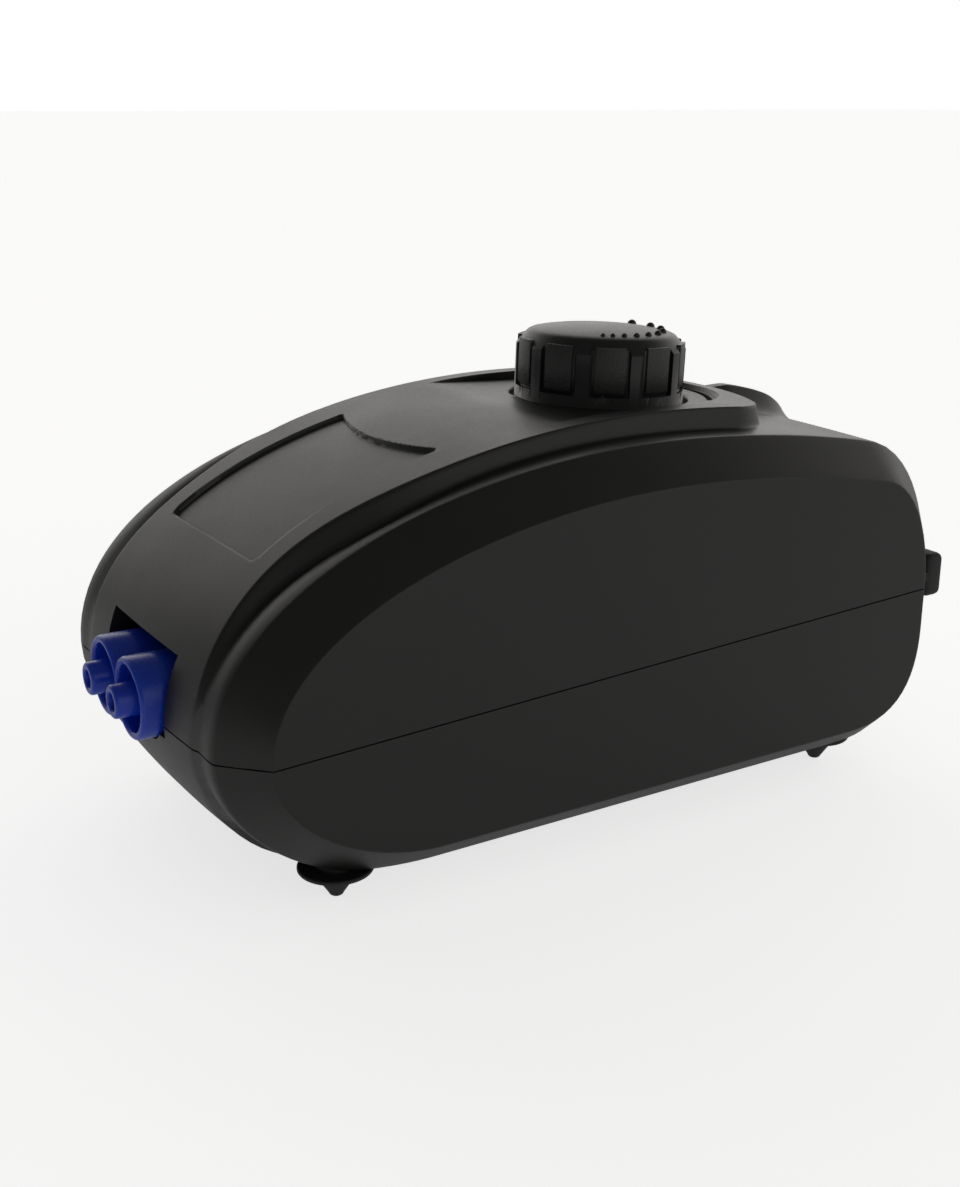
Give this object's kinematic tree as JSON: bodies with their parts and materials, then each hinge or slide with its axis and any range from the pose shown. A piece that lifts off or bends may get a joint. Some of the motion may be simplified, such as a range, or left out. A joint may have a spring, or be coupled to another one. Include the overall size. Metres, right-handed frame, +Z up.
{
  "type": "air pump",
  "caption": "Small aquarium air pump: black arched housing, flow knob on top, twin blue air outlets in front, cone feet and a cord bush at the rear.",
  "frame": {"origin": "under the middle of the overall length and width, on the surface that the feet stand on", "axes": "+Z up, -X towards the air outlets, +X towards the cord bush, +Y to the pump's left-hand side"},
  "size_m": [0.156, 0.075, 0.08],
  "materials": {
    "housing": "fine-grained black moulded plastic",
    "knob": "grained black moulded plastic",
    "outlet": "satin blue plastic",
    "rubber": "matte black rubber",
    "soft_rubber": "soft black rubber",
    "steel": "zinc-plated steel",
    "core": "stacked laminations",
    "copper": "enamelled copper wire",
    "magnet": "sintered ferrite",
    "nylon": "natural nylon",
    "board": "paper-laminate circuit board",
    "clear": "milky silicone",
    "felt": "white felt"
  },
  "bodies": {
    "root": {"upper_housing": "housing", "lower_housing": "housing", "filter_cover": "housing", "filter_felt": "felt", "outlet_nozzle": "outlet", "cord_bush": "rubber", "control_body": "steel", "control_nut": "steel", "circuit_board": "board", "board_capacitor": "soft_rubber", "board_switch": "soft_rubber", "board_screw_1": "steel", "board_screw_2": "steel", "core_stack": "core", "coil_bobbin": "nylon", "coil_winding": "copper", "core_clamp": "steel", "clamp_screw_1": "steel", "clamp_screw_2": "steel", "coil_lead_1": "soft_rubber", "coil_lead_2": "soft_rubber", "foot_1": "rubber", "housing_screw_1": "steel", "foot_2": "rubber", "housing_screw_2": "steel", "foot_3": "rubber", "housing_screw_3": "steel", "foot_4": "rubber", "housing_screw_4": "steel", "pivot_rubber_left": "soft_rubber", "diaphragm_left": "soft_rubber", "pump_chamber_left": "nylon", "chamber_cover_left": "nylon", "air_tube_left": "clear", "pivot_rubber_right": "soft_rubber", "diaphragm_right": "soft_rubber", "pump_chamber_right": "nylon", "chamber_cover_right": "nylon", "air_tube_right": "clear"},
    "knob_group": {"knob": "knob", "control_shaft": "steel"},
    "arm_left": {"swing_arm_left": "nylon", "arm_magnet_left": "magnet", "diaphragm_screw_left": "steel"},
    "outlet_valve_left": {"outlet_leaf_left": "soft_rubber"},
    "inlet_valve_left": {"inlet_leaf_left": "soft_rubber"},
    "arm_right": {"swing_arm_right": "nylon", "arm_magnet_right": "magnet", "diaphragm_screw_right": "steel"},
    "outlet_valve_right": {"outlet_leaf_right": "soft_rubber"},
    "inlet_valve_right": {"inlet_leaf_right": "soft_rubber"}
  },
  "joints": [
    {"name": "knob_turn", "type": "hinge", "parent": "root", "child": "knob_group", "pos_m": [0.0161, 0, 0.0676], "axis": [0.0436, 0, 0.999], "range_deg": [-150, 150]},
    {"name": "arm_swing_left", "type": "hinge", "parent": "root", "child": "arm_left", "pos_m": [-0.0554, 0.0188, 0.0275], "axis": [0, 0, 1], "range_deg": [-1, 1], "stiffness_Nm_per_rad": 0.8, "deforming": ["diaphragm_left"]},
    {"name": "outlet_valve_swing_left", "type": "hinge", "parent": "root", "child": "outlet_valve_left", "pos_m": [-0.0164, 0.0308, 0.0371], "axis": [1, 0, 0], "range_deg": [0, 14], "stiffness_Nm_per_rad": 0.00002},
    {"name": "inlet_valve_swing_left", "type": "hinge", "parent": "root", "child": "inlet_valve_left", "pos_m": [-0.0164, 0.0278, 0.0179], "axis": [1, 0, 0], "range_deg": [0, 14], "stiffness_Nm_per_rad": 0.00002},
    {"name": "arm_swing_right", "type": "hinge", "parent": "root", "child": "arm_right", "pos_m": [-0.0554, -0.0188, 0.0275], "axis": [0, 0, 1], "range_deg": [-1, 1], "stiffness_Nm_per_rad": 0.8, "deforming": ["diaphragm_right"]},
    {"name": "outlet_valve_swing_right", "type": "hinge", "parent": "root", "child": "outlet_valve_right", "pos_m": [-0.0164, -0.0308, 0.0371], "axis": [-1, 0, 0], "range_deg": [0, 14], "stiffness_Nm_per_rad": 0.00002},
    {"name": "inlet_valve_swing_right", "type": "hinge", "parent": "root", "child": "inlet_valve_right", "pos_m": [-0.0164, -0.0278, 0.0179], "axis": [-1, 0, 0], "range_deg": [0, 14], "stiffness_Nm_per_rad": 0.00002}
  ],
  "couplings": [
    {"joint": "arm_swing_right", "follows": "arm_swing_left", "ratio": -1}
  ]
}
